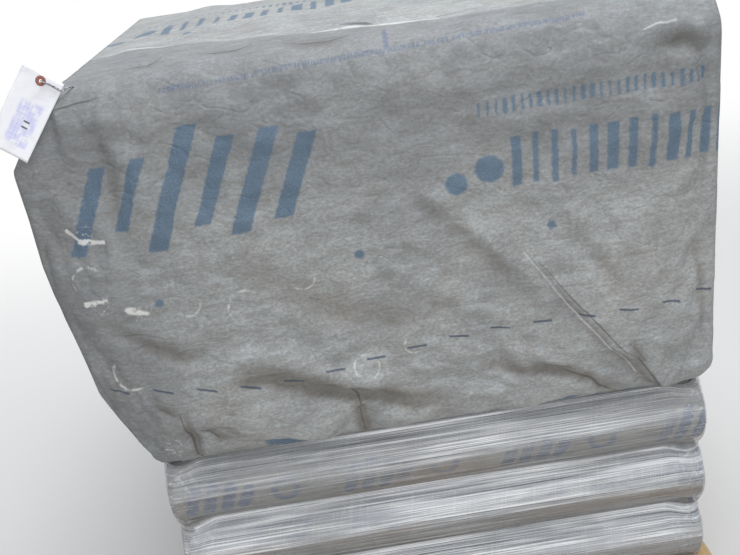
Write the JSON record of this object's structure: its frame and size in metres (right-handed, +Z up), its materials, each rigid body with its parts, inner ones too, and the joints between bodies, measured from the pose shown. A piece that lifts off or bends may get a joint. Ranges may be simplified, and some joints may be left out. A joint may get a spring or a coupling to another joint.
{
  "type": "covered pallet load of roofing underlayment rolls",
  "caption": "Rolls of synthetic roofing underlayment stacked on a wooden pallet, stretch-wrapped below and draped with a printed cover sheet, with a hang tag.",
  "frame": {"origin": "middle of the pallet's underside, on the floor", "axes": "+X along the rolls, to the right in the picture; +Y from the pictured front to the back; +Z up"},
  "size_m": [1.3948, 1.067, 1.5365],
  "materials": {
    "wood": "rough sawn softwood, weathered",
    "rolls": "grey spun-bonded sheet, wound tight",
    "film": "clear stretch film, many turns, streaked",
    "cover": "grey spun-bonded sheet with blue print, dusty",
    "tag": "coated white tag card"
  },
  "bodies": {
    "root": {"stringer_1": "wood", "stringer_2": "wood", "stringer_3": "wood", "deck_board_1": "wood", "deck_board_2": "wood", "deck_board_3": "wood", "deck_board_4": "wood", "deck_board_5": "wood", "deck_board_6": "wood", "deck_board_7": "wood", "deck_board_8": "wood", "bottom_board_1": "wood", "bottom_board_2": "wood", "bottom_board_3": "wood", "roll_layer_1": "rolls", "roll_layer_2": "rolls", "roll_layer_3": "rolls", "covered_rolls": "rolls", "stretch_film": "film", "cover_sheet": "cover", "hang_tag": "tag", "tag_tie": "film"}
  },
  "joints": []
}
